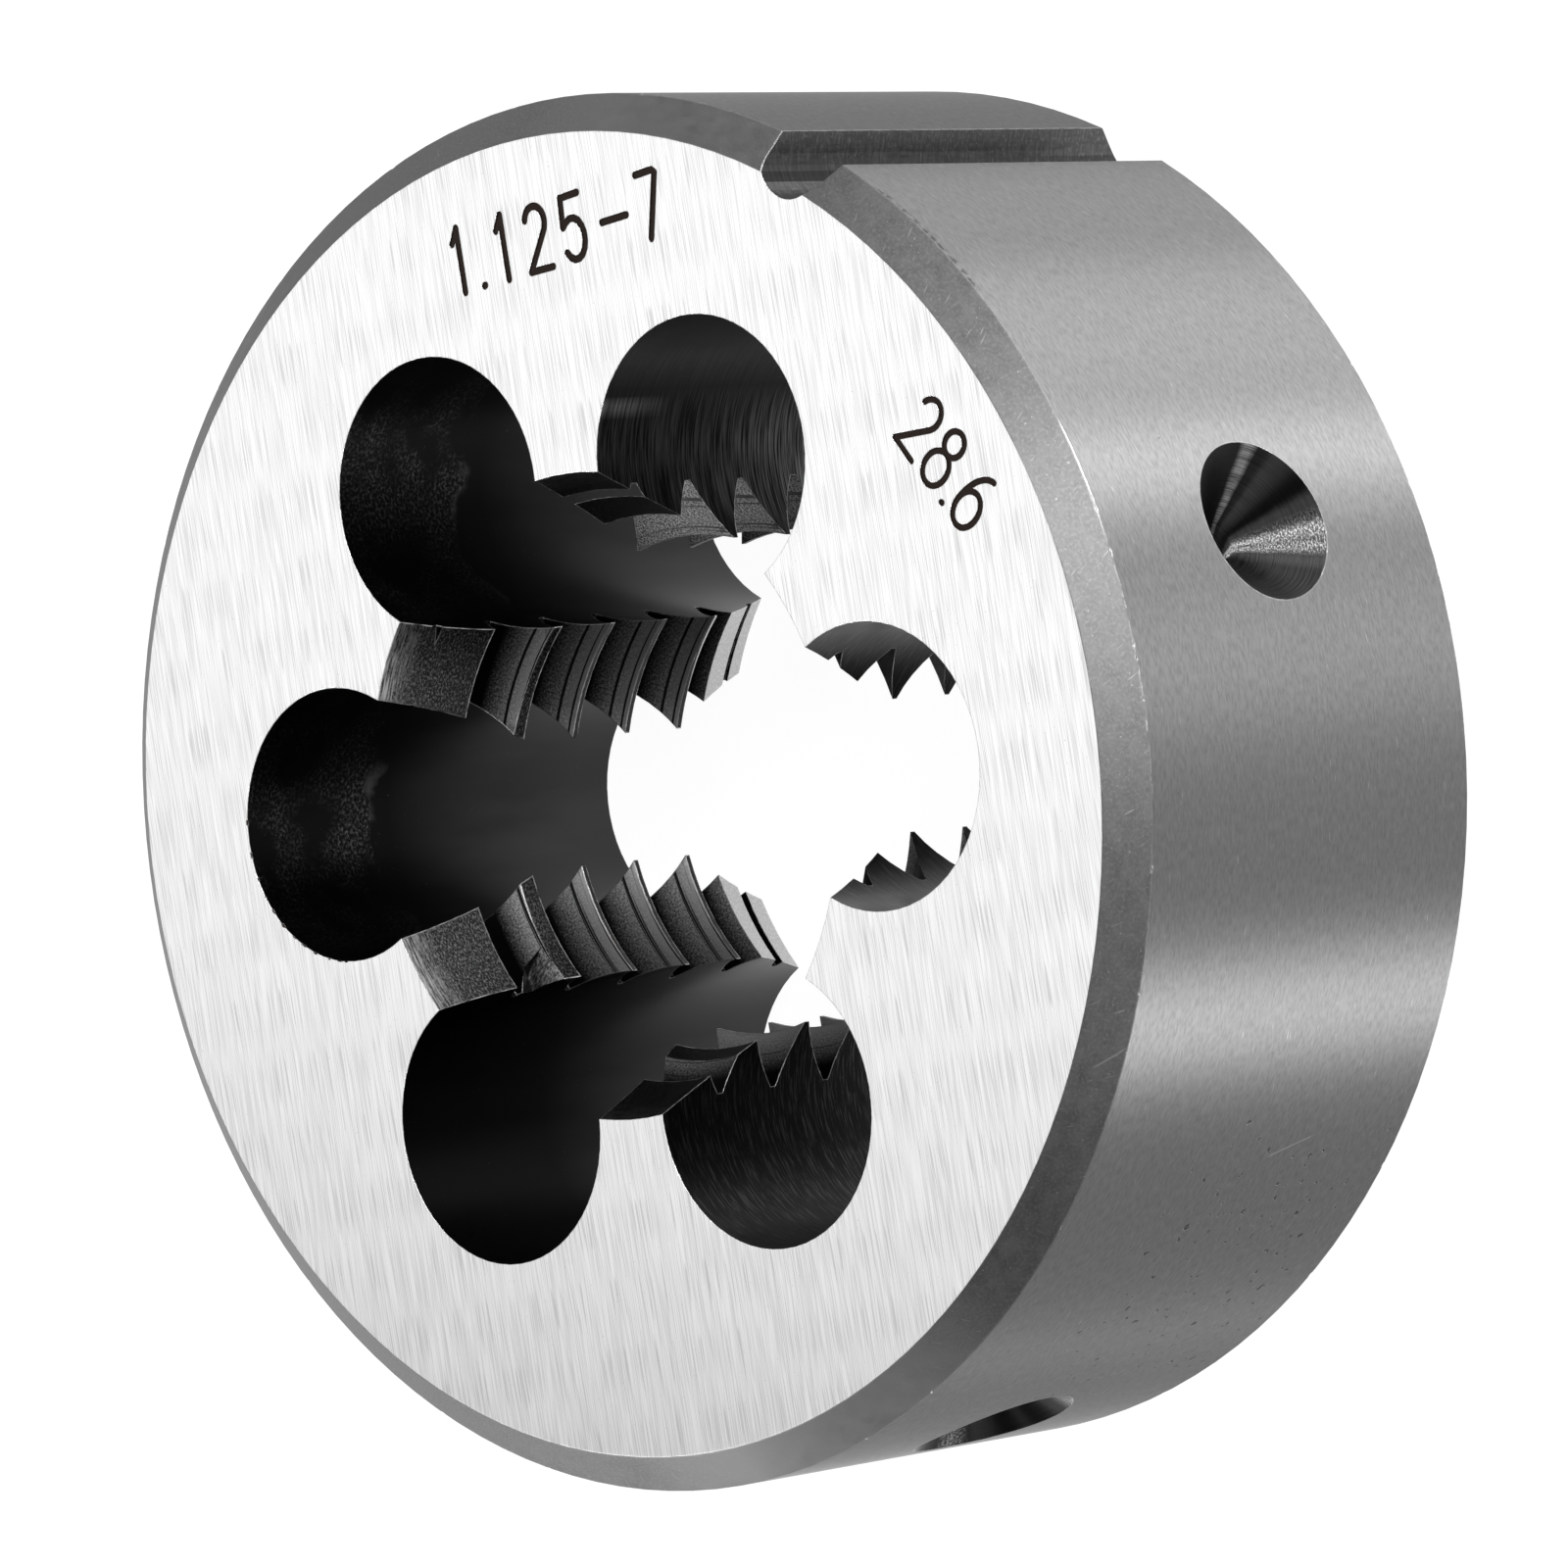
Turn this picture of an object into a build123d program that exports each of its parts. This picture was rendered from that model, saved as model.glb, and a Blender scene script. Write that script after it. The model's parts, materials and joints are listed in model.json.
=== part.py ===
from build123d import *
import os
from math import ceil, cos, radians, sin, tan

# Round threading die: one block of hardened tool steel. Millimetres, +Z up.
# The die lies on its rear face, at z = 0, with its marked face on top. Its axis is Z
# and the adjusting notch in the rim is on the +Y side, over one of the chip holes.

# Body
outer_diameter = 65.0
thickness = 25.0
rim_chamfer_width = 1.75
rim_chamfer_height = 1.4

# Thread that the die cuts: 1 1/8 inch, 7 threads an inch, right-handed
thread_diameter = 28.575
thread_pitch = 25.4 / 7
thread_angle = 60.0
root_clearance = 0.15
root_flat = 0.34
crest_flat = 0.28
first_crest_depth = 1.6

# Entry cone at each face, which truncates the teeth nearest to it
front_entry_clearance = 0.62
rear_entry_clearance = 0.52
entry_cone_angle = 24.0

# Chip holes, with a land of teeth between each two
chip_hole_count = 6
chip_hole_offset = 2.76
land_neck = 4.1

# Adjusting notch along the whole rim
notch_angle = 90.0
notch_depth = 2.42
notch_bottom_radius = 1.79
notch_wall_angle = 14.0

# Screw dimples round the rim, at mid-thickness
dimple_count = 4
dimple_depth = 4.05
dimple_cone_angle = 90.0
first_dimple_angle = 46.6

# How far a cutter runs past the surface that it opens
overrun = 2.0

outer_radius = outer_diameter / 2
flank_slope = tan(radians(thread_angle / 2))
tooth_depth = (thread_pitch - root_flat - crest_flat) / (2 * flank_slope)
root_radius = thread_diameter / 2 + root_clearance
crest_radius = root_radius - tooth_depth
hole_step = 360 / chip_hole_count
hole_circle_radius = root_radius + chip_hole_offset
hole_radius = hole_circle_radius * sin(radians(hole_step / 2)) - land_neck / 2
hole_angles = [notch_angle + hole_step * index for index in range(chip_hole_count)]


def turned(*points):
    """Turn a half section of (radius, height) points about Z. Its seam is in a chip hole."""
    with BuildSketch(Plane.XZ) as section:
        with BuildLine():
            Polyline(*points, close=True)
        make_face()
    return Rot(0, 0, notch_angle) * revolve(section.sketch, axis=Axis.Z)


def blank():
    """The plain disc, chamfered at both rims."""
    face_radius = outer_radius - rim_chamfer_width
    return turned(
        (0, 0),
        (face_radius, 0),
        (outer_radius, rim_chamfer_height),
        (outer_radius, thickness - rim_chamfer_height),
        (face_radius, thickness),
        (0, thickness),
    )


def thread_bore():
    """The bore through the tooth crests, with an entry cone at each face."""
    cone_slope = tan(radians(entry_cone_angle))
    front_radius = root_radius + front_entry_clearance
    rear_radius = root_radius + rear_entry_clearance
    front_cone_height = (front_radius - crest_radius) / cone_slope
    rear_cone_height = (rear_radius - crest_radius) / cone_slope
    return turned(
        (0, -overrun),
        (rear_radius + overrun * cone_slope, -overrun),
        (crest_radius, rear_cone_height),
        (crest_radius, thickness - front_cone_height),
        (front_radius + overrun * cone_slope, thickness + overrun),
        (0, thickness + overrun),
    )


def chip_hole(angle):
    """One chip hole through both faces."""
    drill = Cylinder(hole_radius, thickness + 2 * overrun)
    return Rot(0, 0, angle) * Pos(hole_circle_radius, 0, thickness / 2) * drill


def groove_turn():
    """The thread groove from one chip hole round to the next, on a right-hand helix.

    Its section reaches a little inside the crests, by less than would make it
    run into the next turn.
    """
    inner_radius = crest_radius - crest_flat / 2
    half_root = root_flat / 2
    half_mouth = half_root + (root_radius - inner_radius) * flank_slope
    with BuildSketch(Plane.XZ) as section:
        with BuildLine():
            Polyline(
                (inner_radius, -half_mouth),
                (root_radius, -half_root),
                (root_radius, half_root),
                (inner_radius, half_mouth),
                close=True,
            )
        make_face()
    helix = Helix(thread_pitch, thread_pitch / chip_hole_count, root_radius)
    return sweep(section.sketch, path=helix, is_frenet=True)


def thread_grooves():
    """Every stretch of the groove that meets a land, turn by turn down the bore."""
    turn = groove_turn()
    turns = ceil(thickness / thread_pitch)
    grooves = []
    for angle in hole_angles:
        rise = thread_pitch * (angle / 360 % 1)
        first_groove = thickness - first_crest_depth - thread_pitch / 2 + rise
        for index in range(turns + 1):
            height = first_groove - thread_pitch * index
            if 0 < height < thickness:
                grooves.append(Pos(0, 0, height) * Rot(0, 0, angle) * turn)
    return grooves


def notch():
    """The adjusting notch: a round bottom, and walls that open outwards from it."""
    wall = radians(notch_wall_angle)
    bottom = outer_radius - notch_depth
    centre = bottom + notch_bottom_radius
    side = notch_bottom_radius * cos(wall)
    foot = centre - notch_bottom_radius * sin(wall)
    top = outer_radius + overrun
    half_mouth = side + (top - foot) * tan(wall)
    with BuildSketch(Plane.XY) as section:
        with BuildLine():
            ThreePointArc((foot, -side), (bottom, 0), (foot, side))
            Polyline((foot, side), (top, half_mouth), (top, -half_mouth), (foot, -side))
        make_face()
    cutter = extrude(section.sketch, thickness + 2 * overrun)
    return Rot(0, 0, notch_angle) * Pos(0, 0, -overrun) * cutter


def dimple(angle):
    """One screw dimple, a cone whose axis points at the die's axis."""
    cone_slope = tan(radians(dimple_cone_angle / 2))
    height = dimple_depth + overrun
    drill = Cone(0, height * cone_slope, height, align=(Align.CENTER, Align.CENTER, Align.MIN))
    tip = Pos(outer_radius - dimple_depth, 0, thickness / 2)
    return Rot(0, 0, angle) * tip * Rot(0, 90, 0) * drill


def threading_die():
    """The whole die."""
    die = blank() - thread_bore()
    for angle in hole_angles:
        die -= chip_hole(angle)
    for groove in thread_grooves():
        die -= groove
    die -= notch()
    for index in range(dimple_count):
        die -= dimple(first_dimple_angle + 360 / dimple_count * index)
    return die


os.makedirs("parts", exist_ok=True)
export_step(threading_die(), "parts/threading_die.step")
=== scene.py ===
import json
from math import atan2, cos, pi, radians, sin, tan
from random import Random

import bmesh
import bpy
from mathutils import Matrix, Vector


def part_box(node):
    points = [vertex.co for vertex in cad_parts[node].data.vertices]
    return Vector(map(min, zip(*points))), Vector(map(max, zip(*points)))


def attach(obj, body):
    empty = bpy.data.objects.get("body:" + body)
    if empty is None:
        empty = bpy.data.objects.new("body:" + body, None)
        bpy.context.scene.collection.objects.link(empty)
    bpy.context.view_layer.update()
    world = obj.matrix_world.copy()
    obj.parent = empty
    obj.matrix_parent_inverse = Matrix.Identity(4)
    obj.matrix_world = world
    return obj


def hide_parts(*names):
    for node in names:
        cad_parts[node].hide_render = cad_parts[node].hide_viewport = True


# Looks of the round threading die. Metres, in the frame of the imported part: the die lies on
# its rear face at z = 0, its axis is Z and its adjusting notch is on the +Y side.

MM = 0.001
DIE = "threading_die"
LAY = "lay"

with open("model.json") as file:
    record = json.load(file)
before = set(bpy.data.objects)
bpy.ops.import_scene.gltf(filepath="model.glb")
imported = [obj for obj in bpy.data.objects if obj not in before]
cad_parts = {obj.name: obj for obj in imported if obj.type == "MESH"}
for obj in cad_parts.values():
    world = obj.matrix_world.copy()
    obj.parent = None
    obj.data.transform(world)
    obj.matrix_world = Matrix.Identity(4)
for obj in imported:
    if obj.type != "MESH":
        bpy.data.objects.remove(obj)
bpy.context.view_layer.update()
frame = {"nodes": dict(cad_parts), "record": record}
record = frame["record"]

# Body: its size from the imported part, and its chamfers
die_low, die_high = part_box(DIE)
outer_radius = (die_high.x - die_low.x) / 2
thickness = die_high.z
rim_chamfer_width = 1.75 * MM
rim_chamfer_height = 1.4 * MM

# Thread, entry cones, chip holes and dimples
thread_pitch = 25.4 / 7 * MM
root_radius = 14.4375 * MM
root_flat = 0.34 * MM
crest_flat = 0.28 * MM
flank_slope = tan(radians(30))
crest_radius = root_radius - (thread_pitch - root_flat - crest_flat) / (2 * flank_slope)
front_entry_radius = root_radius + 0.62 * MM
rear_entry_radius = root_radius + 0.52 * MM
entry_cone_angle = radians(24)
chip_hole_radius = 6.549 * MM
dimple_depth = 4.05 * MM
dimple_cone_angle = radians(45)

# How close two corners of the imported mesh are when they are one
weld_distance = 0.001 * MM

# How far the thread grazes the front entry cone at most, and how far below the face
thread_graze = 0.2 * MM
graze_height = 2 * MM

# Distance from the X axis beyond which a chip hole is the one at the notch or opposite it
hole_aside = 12 * MM

# Half the width of the part that holds the notch, and its distance from the die's axis
notch_reach = 3.2 * MM
notch_start = outer_radius - 2.6 * MM

# Least part of a facet's normal that is towards +X, on the notch's wall, foot and floor
wall_facing = 0.95
foot_facing = 0.72
floor_facing = 0.5

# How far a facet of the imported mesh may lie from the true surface, and from a flat face
facet_slack = 0.06 * MM
flat_slack = facet_slack / 10

# Least cosine between a facet's normal and the true one, on a flat and on a turned surface
flat_match = 0.999
turned_match = 0.97

# Least part of a flank's normal that is along the axis, and most of an upright facet's
flank_facing = 0.75
upright_slack = 0.01

# Lay of the grinding marks on the front face, measured from +X. The rear's mirrors it.
face_lay_angle = radians(123.5)

# Marking on the front face, in plain numbers: stroke widths, depth, the cutter's overrun,
# the height above which a facet is the marking's, and the start and turn of each baseline
inch_width = 0.36 * MM
millimetre_width = 0.3 * MM
mark_depth = 0.06 * MM
mark_overrun = 0.2 * MM
mark_low = thickness - 1.5 * mark_depth
inch_start = Vector((-16.67, 18.23)) * MM
inch_angle = radians(35)
millimetre_start = Vector((12.65, 22.01)) * MM
millimetre_angle = radians(-23.6)

# Turn at which a pen stroke folds back on itself, and step in which its outside is rounded
fold_turn = radians(179)
round_step = radians(25)

# Wear. A stretch of nicks has its first and last angle in degrees, and how many there are.
nick_seed = 11
front_edge_nicks = ((32, 51, 9), (100, 392, 18))
rear_edge_nicks = ((0, 360, 24),)
mouth_nicks = ((205, 300, 14),)

# Least and most length and width of a nick, and how far its corners stray, as shares
nick_length = (0.12 * MM, 0.45 * MM)
nick_width = (0.1 * MM, 0.24 * MM)
nick_jag = (0.8, 1.2)

# Broken tooth: corners of the break on the flank, from its tip; the line along its deepest
# part; where the flank faces; how deep and how far from the tip the break goes; how much
# its floor faces as the flank does; and how far from the tip the flank is torn
break_corners = (
    Vector((-5.74, -11.13, 19.13)) * MM,
    Vector((-5.86, -12.25, 19.76)) * MM,
    Vector((-5.05, -13.35, 20.2)) * MM,
    Vector((-3.29, -12.04, 19.11)) * MM,
)
break_bottom = (
    Vector((-5.88, -12.1, 19.27)) * MM,
    Vector((-5.7, -12.71, 19.46)) * MM,
    Vector((-4.9, -13.3, 19.55)) * MM,
)
break_facing = Vector((0.17, 0.47, 0.865)).normalized()
break_depth = 0.6 * MM
break_span = 3.2 * MM
break_floor_facing = 0.75
torn_span = 1.6 * MM

# First flank of the land beside the notch, painted black as shade: its middle and its reach
black_flank = Vector((-7.0, 12.3, 22.4)) * MM
black_span = 3 * MM

# First flanks of two lands, which get the brightest painted light: their middles and their reach
bright_flanks = (Vector((-13.0, 0.1, 18.8)) * MM, Vector((-6.9, -11.2, 19.5)) * MM)
bright_span = 2.6 * MM

# Finish. From here on a stretch has its first and last value and its fade beyond either.
# Stretches of the rim's edges, in degrees from the notch, counterclockwise from above: a
# painted highlight, a row of worn dots and a ragged edge
highlight_strip = (317, 325.4, 1)
worn_dots = (296, 317, 2)
ragged_edge = (340, 352, 1)

# Where the ragged edge begins and is full, in millimetres below the front chamfer
ragged_depth = (0.4, 0.1)

# Stretches of the chamfers with painted shade, and paler ones with painted light, in degrees as
# above
shaded_chamfer_side = (64, 115, 32)
lit_chamfer_sides = ((10, 20, 12), (218, 238, 12))

# Part of the cylinder with small pits, in degrees as above and in millimetres of height
pitted_side = (236, 262, 8)
pitted_height = (4, 14, 5)

# A scratch on the cylinder and one on the chamfer: the middle across and along the lay and
# the length, in millimetres, the turn from along the lay in degrees, and the grey. Then
# half the width of a scratch, and the length over which its ends fade, in millimetres.
rim_scratch = ((9.4, 149.74), 2.5, 72.9, 0.44)
chamfer_scratch = ((-9.97, 147.13), 1.3, 44.4, 0.28)
scratch_half_width = 0.07
scratch_fade = 0.3

# Turning marks of the front entry cone: where across its lay they begin and are full, in
# millimetres
cone_marks = (-27.4, -29)

# Lands whose flanks get painted light, and those that also get a painted highlight towards
# the crest, in degrees from -Y, counterclockwise from above, and the width of painted shade
# at the root in millimetres
lit_lands = (-118, 118, 2)
crest_sheen_lands = (-118, 60, 2)
dark_root = 0.7

# Reamed chip hole, in degrees counterclockwise from its side at the bore: where its marks
# begin and are full, and a painted highlight line, with the heights where that begins and is full
reamed_side = (266, 290)
reamed_highlight = (273, 275, 4)
reamed_highlight_height = (20.5, 24)

# Heights in millimetres between which the drills stopped, and the shares of the thickness
# at which a chip hole's painted light towards the rear begins and is full
drill_stop = (16, 18)
hole_rear_light = (0.62, 0.1)

# Painted highlights, a stretch painted lighter and a narrow painted highlight of the dimples
# beside the notch and of the lower ones, in degrees counterclockwise from the front, seen from
# outside. A painted highlight has the span in which it comes up, and the one in which it dies
# away, from its end.
dimple_highlights = [((151, 161), (189, 164))]
dimple_sheen = (45, 138, 15)
lower_highlights = [((88, 98), (118, 104)), ((200, 218), (238, 224))]
lower_sheen = (300, 330, 15)
dimple_narrow_highlight = (252, 258, 6)

# Grey of what hardening left black, which also stands as painted shade in the chip holes and on
# the flanks, and roughness of bared edges, outside and in the holes
hardened_and_shade = 0.004
outer_bared = 0.22
inner_bared = 0.4

# Values between which nearly all of a noise lies, and those over which a speck's rim fades
noise_low = 0.3
noise_high = 0.7
speck_fade = 0.05

# Rounded edges: samples of their shading, and its cosine to the face's where the edge
# begins and is full
edge_samples = 4
edge_turn = (0.985, 0.85)

# Camera, at the photograph's viewpoint. The lens and sensor are in millimetres, and the
# nearest distance seen in metres.
camera_place = Vector((238.49, 133.59, 305.08)) * MM
camera_aim = Vector((10.39, 5.585, 25.0)) * MM
camera_roll = radians(-95.27)
camera_lens = 193.85
camera_sensor = 36
nearest_seen = 0.01

# Floor: half its width, its finish, and how bright and how strongly it is seen to glow
floor_half_width = 3.0
floor_grey = 0.9
floor_roughness = 0.9
floor_specular = 0.1
glow_strength = 1.12
glow_share = 0.86

# World light, and the soft lamps: azimuth and elevation in degrees, distance, width and
# height in metres, and radiance
world_strength = 0.02
lamps = {
    "key": (190.5, 57, 0.8, 0.57, 0.8, 1.5),
    "strip_left": (69.5, 30, 0.7, 0.12, 0.6, 13.5),
    "fill_left": (90, 15, 0.8, 0.32, 0.3, 9),
    "fill_behind": (114, 15, 0.8, 0.26, 0.3, 4.6),
    "fill_far": (165, 10, 0.8, 0.2, 0.2, 1.2),
    "fill_near": (42, 38, 0.8, 0.24, 0.35, 8),
    "strip_front": (-9, 16, 0.7, 0.15, 0.45, 10.3),
    "fill_front": (20, 15, 0.8, 0.25, 0.4, 0.7),
    "strip_right": (-62, 15, 0.8, 0.12, 0.4, 1.9),
    "strip_low": (-108, 24, 0.8, 0.21, 0.32, 10.5),
}


def hole_centres():
    """Middle of each chip hole, at the floor, from the record's openings."""
    centres = []
    for opening in record["physics"]["openings"]:
        if opening["name"].startswith("chip_hole"):
            low, high = (Vector(corner) for corner in opening["box_m"])
            middle = (low + high) / 2
            centres.append(Vector((middle.x, middle.y, 0)))
    return centres


def hole_finish(centre):
    """How a chip hole looks: the one at the notch is reamed, and two are only drilled."""
    if centre.y > hole_aside:
        return "reamed_hole"
    if centre.y < -hole_aside:
        return "plain_hole"
    return "drilled_hole" if centre.x < 0 else "dark_hole"


def dimple_tips():
    """Tip and outward direction of each screw dimple, from the record's mounts."""
    tips = []
    for mount in record["mounts"]:
        if mount["name"].startswith("screw_dimple"):
            outward = Vector(mount["axis"]).normalized()
            tip = outward * (outer_radius - dimple_depth) + Vector((0, 0, thickness / 2))
            tips.append((tip, outward))
    return tips


def nearest_turn(angle, middle):
    """The angle, by whole turns, that is nearest to middle."""
    return middle + ((angle - middle + pi) % (2 * pi) - pi)


class Plain:
    """What no other surface holds, shaded by its own facets.

    Every surface has a material and says which facets it holds. For a point it gives the
    true normal, or None for the facet's own, and the place across and along the lay.
    """

    def __init__(self, material):
        self.material = material

    def holds(self, centre, normal):
        return True

    def normal(self, point):
        return None

    def lay(self, point, centre):
        return point.x, point.y + point.z


class Flat:
    """A flat face, with marks that lie at one angle."""

    def __init__(self, material, height, facing, lay_angle):
        self.material = material
        self.height = height
        self.facing = Vector((0, 0, facing))
        self.along = Vector((cos(lay_angle), sin(lay_angle), 0))
        self.across = Vector((-sin(lay_angle), cos(lay_angle), 0))

    def holds(self, centre, normal):
        level = abs(centre.z - self.height) < flat_slack
        return level and normal.dot(self.facing) > flat_match

    def normal(self, point):
        return self.facing

    def lay(self, point, centre):
        return self.across.dot(point), self.along.dot(point)


class Turned:
    """A cylinder or cone about any axis, with marks that run round it.

    profile is a (radius, height) point of its section, and slant the section's normal as
    (outwards, along the axis). The lay is measured round profile's circle, from seam.
    """

    def __init__(self, material, origin, axis, profile, slant, seam):
        self.material = material
        self.origin = origin
        self.axis = axis.normalized()
        self.slant = Vector(slant).normalized()
        self.offset = self.slant.dot(Vector(profile))
        self.lay_radius = profile[0]
        self.start = (seam - self.axis * seam.dot(self.axis)).normalized()
        self.side = self.axis.cross(self.start)

    def place(self, point):
        """Radius, height and outward direction of a point, about this axis."""
        arm = point - self.origin
        height = arm.dot(self.axis)
        outward = arm - self.axis * height
        return outward.length, height, outward.normalized()

    def holds(self, centre, normal):
        radius, height = self.place(centre)[:2]
        gap = abs(self.slant.dot(Vector((radius, height))) - self.offset)
        return gap < facet_slack and normal.dot(self.normal(centre)) > turned_match

    def normal(self, point):
        outward = self.place(point)[2]
        return outward * self.slant.x + self.axis * self.slant.y

    def angle(self, point):
        """Angle of a point from the seam, about this axis."""
        outward = self.place(point)[2]
        return atan2(outward.dot(self.side), outward.dot(self.start)) % (2 * pi)

    def lay(self, point, centre):
        radius, height = self.place(point)[:2]
        angle = nearest_turn(self.angle(point), self.angle(centre))
        return height * self.slant.x - radius * self.slant.y, angle * self.lay_radius


class Flank:
    """The thread's flanks that face one end, with marks that follow the thread.

    Where a middle is given, it is only the part of them within reach of it.
    """

    def __init__(self, material, facing, middle=None, reach=0):
        self.material = material
        self.facing = facing
        self.middle = middle
        self.reach = reach

    def holds(self, centre, normal):
        if self.middle and (centre - self.middle).length > self.reach:
            return False
        radius = centre.to_2d().length
        inside = crest_radius - facet_slack < radius < root_radius + facet_slack
        between = facet_slack < centre.z < thickness - facet_slack
        return inside and between and normal.z * self.facing > flank_facing

    def normal(self, point):
        radius = point.to_2d().length
        outward = Vector((point.x, point.y, 0)) / radius
        forward = Vector((-outward.y, outward.x, 0))
        climb = thread_pitch / (2 * pi * radius)
        slant = self.facing * Vector((0, 0, 1)) - self.facing * climb * forward
        return (slant - outward * flank_slope).normalized()

    def lay(self, point, centre):
        angle = nearest_turn(atan2(point.x, -point.y), atan2(centre.x, -centre.y))
        return point.to_2d().length, angle * root_radius


class Notch(Plain):
    """The part of the milled notch that faces towards +X by between two amounts."""

    def __init__(self, material, least, most):
        super().__init__(material)
        self.least = least
        self.most = most

    def holds(self, centre, normal):
        beside = abs(centre.x) < notch_reach and centre.y > notch_start
        return beside and abs(normal.z) < upright_slack and self.least <= normal.x <= self.most

    def lay(self, point, centre):
        return point.x + point.y, point.z


class Broken(Plain):
    """The break on one tooth, where it faces as the flank did by more than an amount."""

    def __init__(self, material, least):
        super().__init__(material)
        self.least = least

    def holds(self, centre, normal):
        arm = centre - break_corners[0]
        depth = -arm.dot(break_facing)
        inside = facet_slack / 2 < depth < break_depth + facet_slack and arm.length < break_span
        return inside and normal.dot(break_facing) > self.least


class Mark(Plain):
    """The walls and floors of the engraved marking."""

    def holds(self, centre, normal):
        return mark_low < centre.z < thickness


def surfaces():
    """Every kind of surface on the die. The first that holds a facet has it."""
    up = Vector((0, 0, 1))
    base = Vector((0, 0, 0))
    to_notch = Vector((0, 1, 0))
    chamfer = (rim_chamfer_height, rim_chamfer_width)
    face_radius = outer_radius - rim_chamfer_width
    cone = (-cos(entry_cone_angle), sin(entry_cone_angle))
    front_mouth = (front_entry_radius, thickness)
    found = [
        Flat("ground_face", thickness, 1, face_lay_angle),
        Flat("ground_face", 0, -1, -face_lay_angle),
        Turned("turned_chamfer", base, up, (face_radius, thickness), chamfer, to_notch),
        Turned("turned_chamfer", base, up, (face_radius, 0), (chamfer[0], -chamfer[1]), to_notch),
        Turned("ground_rim", base, up, (outer_radius, 0), (1, 0), to_notch),
        Turned("thread_crest", base, up, (crest_radius, 0), (-1, 0), to_notch),
        Turned("front_cone", base, up, front_mouth, cone, to_notch),
        Turned("rear_cone", base, up, (rear_entry_radius, 0), (cone[0], -cone[1]), to_notch),
    ]
    for centre in hole_centres():
        name = hole_finish(centre)
        found.append(Turned(name, centre, up, (chip_hole_radius, 0), (-1, 0), -centre))
    dimple_mouth = (dimple_depth, dimple_depth)
    dimple_slant = (-cos(dimple_cone_angle), sin(dimple_cone_angle))
    for tip, outward in dimple_tips():
        name = "dimple" if outward.y > 0 else "lower_dimple"
        found.append(Turned(name, tip, outward, dimple_mouth, dimple_slant, up))
    found += [
        Notch("notch_wall", wall_facing, 1),
        Notch("notch_foot", foot_facing, wall_facing),
        Notch("notch_floor", floor_facing, foot_facing),
        Notch("notch_far_side", -1, floor_facing),
        Turned("thread_root", base, up, (root_radius, 0), (-1, 0), to_notch),
        Broken("broken_floor", break_floor_facing),
        Broken("broken_wall", 0),
        Flank("torn_flank", 1, break_corners[0], torn_span),
        Flank("black_flank", 1, black_flank, black_span),
    ]
    for middle in bright_flanks:
        found.append(Flank("bright_flank", 1, middle, bright_span))
    found += [Flank("thread_flank", facing) for facing in (1, -1)]
    return found + [Mark("mark"), Plain("bare_steel")]


def oval(middle, half_width, half_height, start, end, steps=12):
    """Points of an ellipse from one angle to another, in degrees."""
    points = []
    for index in range(steps + 1):
        angle = radians(start + (end - start) * index / steps)
        points.append((middle[0] + half_width * cos(angle), middle[1] + half_height * sin(angle)))
    return points


def ring(middle, half_width, half_height):
    """A whole ellipse, as two strokes."""
    return [oval(middle, half_width, half_height, start, start + 180) for start in (-90, 90)]


# Each sign is a list of pen strokes: their centre lines in millimetres, about a middle along
# the baseline and from it upwards

def digit_one(middle):
    return [[(middle - 0.37, 2.37), (middle + 0.03, 3.06), (middle, 0)]]


def digit_two(middle):
    bow = oval((middle, 2.24), 0.64, 0.76, 165, -35)
    return [bow + [(middle - 0.7, 0.02), (middle + 0.74, 0)]]


def digit_five(middle):
    top = [(middle + 0.62, 3.02), (middle - 0.5, 2.98), (middle - 0.6, 1.6)]
    return [top + oval((middle, 0.97), 0.7, 0.97, 120, -145)]


def digit_six(middle):
    back = oval((middle + 0.35, 0.95), 1.05, 2.0, 95, 180)
    return [back] + ring((middle, 0.93), 0.7, 0.93)


def digit_seven(middle):
    top = [(middle - 0.62, 2.98), (middle + 0.41, 3.02), (middle + 0.6, 2.86)]
    return [top + [(middle - 0.24, -0.05)]]


def digit_eight(middle):
    return ring((middle, 2.4), 0.56, 0.64) + ring((middle, 0.86), 0.7, 0.88)


def dot(middle):
    return [[(middle, 0.04), (middle + 0.06, 0.06)]]


def dash(middle):
    return [[(middle - 0.79, 1.32), (middle + 0.8, 1.34)]]


def inch_numbers():
    """Plain numbers: the thread's diameter in inches, and its threads an inch."""
    diameter = digit_one(0) + dot(1.3) + digit_one(2.95) + digit_two(5.15) + digit_five(7.5)
    return diameter + dash(10.2) + digit_seven(12.57)


def millimetre_numbers():
    """Plain numbers: the thread's diameter in millimetres."""
    return digit_two(-1.5) + digit_eight(0.45) + dot(1.75) + digit_six(3.0)


def stroke_outline(stroke, width):
    """Outline of a round-ended pen stroke: there along its right side, back along its left.

    Where the pen turns right it is one point, and where it turns left it is rounded.
    """
    loop = [Vector(point) for point in stroke + stroke[-2:0:-1]]
    outline = []
    for index, point in enumerate(loop):
        before = (point - loop[index - 1]).normalized()
        after = (loop[(index + 1) % len(loop)] - point).normalized()
        first = Vector((before.y, -before.x)) * width / 2
        last = Vector((after.y, -after.x)) * width / 2
        turn = atan2(before.cross(after), before.dot(after))
        if abs(turn) > fold_turn:
            turn = pi
        if turn < 0:
            outline.append(point + (first + last) / (1 + before.dot(after)))
            continue
        steps = max(1, round(turn / round_step))
        for step in range(steps + 1):
            outline.append(point + Matrix.Rotation(turn * step / steps, 2) @ first)
    return outline


def new_object(name, data):
    """An object in the scene's collection."""
    made = bpy.data.objects.new(name, data)
    bpy.context.scene.collection.objects.link(made)
    return made


def finished(work, name):
    """A mesh of what was worked on, which is then freed."""
    mesh = bpy.data.meshes.new(name)
    work.to_mesh(mesh)
    work.free()
    return mesh


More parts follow.
